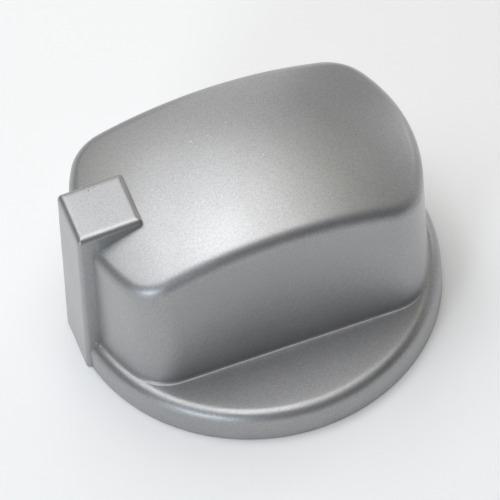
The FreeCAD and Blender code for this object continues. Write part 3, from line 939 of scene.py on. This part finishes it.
class KNOB_OT_spring_clip(bpy.types.Operator):
    """Make the spring clip round the neck of the boss."""

    bl_idname = "knob.spring_clip"
    bl_label = "Spring clip"

    def execute(self, context):
        sizes = context.scene.knob_clip
        half_gap = sizes.gap / 2
        low = CLIP_LOW.z
        high = CLIP_HIGH.z
        inner = sizes.outer_radius - sizes.thickness
        edge = sizes.edge
        turn = shares(CLIP_EDGE_STEPS, first=True) * math.pi / 2
        corners = [(1, 1, 0), (-1, 1, 1), (-1, -1, 2), (1, -1, 3)]
        middle_radius = (inner + sizes.outer_radius) / 2
        middle_height = (low + high) / 2
        half_thickness = sizes.thickness / 2 - edge
        half_height = (high - low) / 2 - edge
        section = np.concatenate([
            np.column_stack([
                middle_radius + side_r * half_thickness + edge * np.cos(turn + quarter * math.pi / 2),
                middle_height + side_z * half_height + edge * np.sin(turn + quarter * math.pi / 2),
            ])
            for side_r, side_z, quarter in corners
        ])
        stations = np.linspace(math.pi + half_gap, 3 * math.pi - half_gap, CLIP_STATIONS)
        # Formula: the rounded section turned about the axis from one side of the gap to the other
        rings = np.stack([
            section[:, 0] * np.cos(stations)[:, None],
            section[:, 0] * np.sin(stations)[:, None],
            np.broadcast_to(section[:, 1], (len(stations), len(section))),
        ], axis=-1)
        start = rings[0].mean(axis=0)
        end = rings[-1].mean(axis=0)
        mesh = make_mesh("clip_strip", *closed_surface(rings, start, end))
        piece = add_object("clip_strip", mesh, [spring_steel(context.scene.knob_finishes)])
        shade(mesh)
        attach(piece, "root")
        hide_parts("spring_clip")
        return {"FINISHED"}


def highest(tree, *values):
    """The highest of several values."""
    top = values[0]
    for value in values[1:]:
        pair = add_node(tree, "ShaderNodeMath", None, {0: top, 1: value}, operation="MAXIMUM")
        top = pair.outputs["Value"]
    return top


def floor_material(finishes):
    """Matt pale paper that takes the knob's shadow and shows as nearly white behind it.

    From below it is clear, so that the knob's underside can be looked at.
    """
    material = new_material("white_paper")
    tree = material.node_tree
    tone = to_linear(finishes.floor)
    path = add_node(tree, "ShaderNodeLightPath")
    rays = ("Is Camera Ray", "Is Glossy Ray", "Is Transmission Ray")
    shown = highest(tree, *[path.outputs[ray] for ray in rays])
    strength = add_node(tree, "ShaderNodeMath", {1: FLOOR_LIFT}, {0: shown}, operation="MULTIPLY")
    paper = add_node(tree, "ShaderNodeBsdfDiffuse", {"Color": tone})
    glow = add_node(tree, "ShaderNodeEmission", {"Color": tone}, {"Strength": strength.outputs["Value"]})
    both = add_node(
        tree, "ShaderNodeAddShader", None, {0: paper.outputs["BSDF"], 1: glow.outputs["Emission"]},
    )
    side = add_node(tree, "ShaderNodeNewGeometry")
    below = highest(tree, side.outputs["Backfacing"], path.outputs["Transparent Depth"])
    clear = add_node(tree, "ShaderNodeBsdfTransparent")
    sheet = add_node(
        tree, "ShaderNodeMixShader", None,
        {"Fac": below, 1: both.outputs["Shader"], 2: clear.outputs["BSDF"]},
    )
    add_node(tree, "ShaderNodeOutputMaterial", None, {"Surface": sheet.outputs["Shader"]})
    return material


def make_world(finishes):
    """A faint even light from above, and white at and below the horizon and where it is seen directly."""
    world = bpy.data.worlds.new("studio")
    bpy.context.scene.world = world
    world.use_nodes = True
    tree = world.node_tree
    tree.nodes.clear()
    place = add_node(tree, "ShaderNodeTexCoord")
    height = add_node(tree, "ShaderNodeSeparateXYZ", None, {"Vector": place.outputs["Generated"]})
    low, high = HORIZON_BAND
    light = add_node(
        tree, "ShaderNodeMapRange",
        {"From Min": low, "From Max": high, "To Min": 1.0, "To Max": WORLD_LIGHT},
        {"Value": height.outputs["Z"]}, interpolation_type="SMOOTHSTEP",
    )
    path = add_node(tree, "ShaderNodeLightPath")
    strength = highest(tree, light.outputs["Result"], path.outputs["Is Camera Ray"])
    sky = add_node(
        tree, "ShaderNodeBackground", {"Color": to_linear(finishes.backdrop)}, {"Strength": strength},
    )
    add_node(tree, "ShaderNodeOutputWorld", None, {"Surface": sky.outputs["Background"]})


def add_lamp(name, place, size, energy, tint):
    """A square soft box at a place, turned to the knob."""
    lamp = bpy.data.lights.new(name, "AREA")
    lamp.shape = "SQUARE"
    lamp.size = size
    lamp.energy = energy
    lamp.color = tint
    holder = bpy.data.objects.new(name, lamp)
    bpy.context.scene.collection.objects.link(holder)
    holder.location = place
    holder.rotation_mode = "QUATERNION"
    holder.rotation_quaternion = Vector(place).to_track_quat("Z", "Y")
    return holder


def direction(azimuth, elevation):
    """Unit vector towards a place seen from the origin, azimuth 0 being the front."""
    return Vector((
        math.sin(azimuth) * math.cos(elevation),
        -math.cos(azimuth) * math.cos(elevation),
        math.sin(elevation),
    ))


# Soft boxes: azimuth and elevation in degrees, width in millimetres, power in watts and colour
LAMPS = {
    "top": (0.0, 86.0, 280.0, 0.80, "#FEFDFF"),
    "back": (180.0, 65.0, 280.0, 0.46, "#F6F8FF"),
    "back_left": (225.0, 65.0, 280.0, 0.39, "#FAFCFF"),
    "left": (270.0, 65.0, 280.0, 0.39, "#FAFFFF"),
    "back_right": (135.0, 65.0, 280.0, 0.15, "#FFF8D0"),
    "middle_back": (202.5, 42.0, 280.0, 0.20, "#FFFCEE"),
    "low_front_left": (312.0, 21.0, 130.0, 0.72, "#E8F4FF"),
    "low_right": (90.0, 20.0, 150.0, 0.08, "#FEFFFE"),
    "low_back_right": (120.0, 20.0, 150.0, 0.22, "#FDFEFF"),
    "low_back": (165.0, 20.0, 200.0, 0.20, "#FDFDFF"),
}
LAMP_DISTANCE = 500 * MM
# What the floor adds where it is seen, so that it stays pale behind the knob
FLOOR_LIFT = 0.05
# Strength of the light from all round, and the heights between which the horizon's white fades to it
WORLD_LIGHT = 0.05
HORIZON_BAND = (0.052, 0.09)


class KNOB_OT_studio(bpy.types.Operator):
    """Make the floor, the backdrop, the soft boxes and the camera."""

    bl_idname = "knob.studio"
    bl_label = "Studio"

    def execute(self, context):
        scene = context.scene
        studio = scene.knob_studio
        finishes = scene.knob_finishes
        half = 3000 * MM
        # A hair under the rim, so that the two don't share a plane
        low = -0.02 * MM
        corners = np.array([[-half, -half, low], [half, -half, low], [half, half, low], [-half, half, low]])
        mesh = make_mesh("floor", corners, np.array([[0, 1, 2, 3]]), np.zeros((0, 3), int))
        add_object("floor", mesh, [floor_material(finishes)])
        make_world(finishes)
        for name, (azimuth, elevation, width, power, tint) in LAMPS.items():
            place = direction(math.radians(azimuth), math.radians(elevation)) * LAMP_DISTANCE
            add_lamp(name, place, width * MM, power, to_linear(tint)[:3])
        camera = bpy.data.cameras.new("camera")
        camera.lens = studio.lens
        camera.clip_start = studio.distance / 10
        holder = bpy.data.objects.new("camera", camera)
        scene.collection.objects.link(holder)
        back = direction(studio.azimuth, studio.elevation)
        turned = back.to_track_quat("Z", "Y") @ Matrix.Rotation(studio.roll, 3, "Z").to_quaternion()
        holder.location = Vector(studio.aim) + back * studio.distance
        holder.rotation_mode = "QUATERNION"
        holder.rotation_quaternion = turned
        scene.camera = holder
        scene.view_settings.view_transform = "Standard"
        return {"FINISHED"}


class KNOB_PT_panel(bpy.types.Panel):
    """The knob's pieces and its studio."""

    bl_idname = "KNOB_PT_panel"
    bl_label = "Oven control knob"
    bl_space_type = "VIEW_3D"
    bl_region_type = "UI"
    bl_category = "Knob"

    def draw(self, context):
        scene = context.scene
        groups = (
            scene.knob_sizes, scene.knob_hollow, scene.knob_clip, scene.knob_finishes, scene.knob_studio,
        )
        for group in groups:
            box = self.layout.box()
            for name in group.bl_rna.properties.keys():
                if name not in ("rna_type", "name"):
                    box.prop(group, name)
        for operator in (KNOB_OT_moulding, KNOB_OT_spring_clip, KNOB_OT_studio):
            self.layout.operator(operator.bl_idname)


CLASSES = (
    KnobSizes, HollowSizes, ClipSizes, Finishes, StudioSettings,
    KNOB_OT_moulding, KNOB_OT_spring_clip, KNOB_OT_studio, KNOB_PT_panel,
)


def register():
    """Adds the classes and their settings to Blender."""
    for kind in CLASSES:
        bpy.utils.register_class(kind)
    bpy.types.Scene.knob_sizes = PointerProperty(type=KnobSizes)
    bpy.types.Scene.knob_hollow = PointerProperty(type=HollowSizes)
    bpy.types.Scene.knob_clip = PointerProperty(type=ClipSizes)
    bpy.types.Scene.knob_finishes = PointerProperty(type=Finishes)
    bpy.types.Scene.knob_studio = PointerProperty(type=StudioSettings)


def unregister():
    """Takes the classes and their settings out of Blender."""
    for name in ("knob_studio", "knob_finishes", "knob_clip", "knob_hollow", "knob_sizes"):
        delattr(bpy.types.Scene, name)
    for kind in reversed(CLASSES):
        bpy.utils.unregister_class(kind)


def main():
    """Builds the pieces and the studio."""
    register()
    bpy.ops.knob.studio()
    bpy.ops.knob.moulding()
    bpy.ops.knob.spring_clip()


if __name__ == "__main__":
    main()
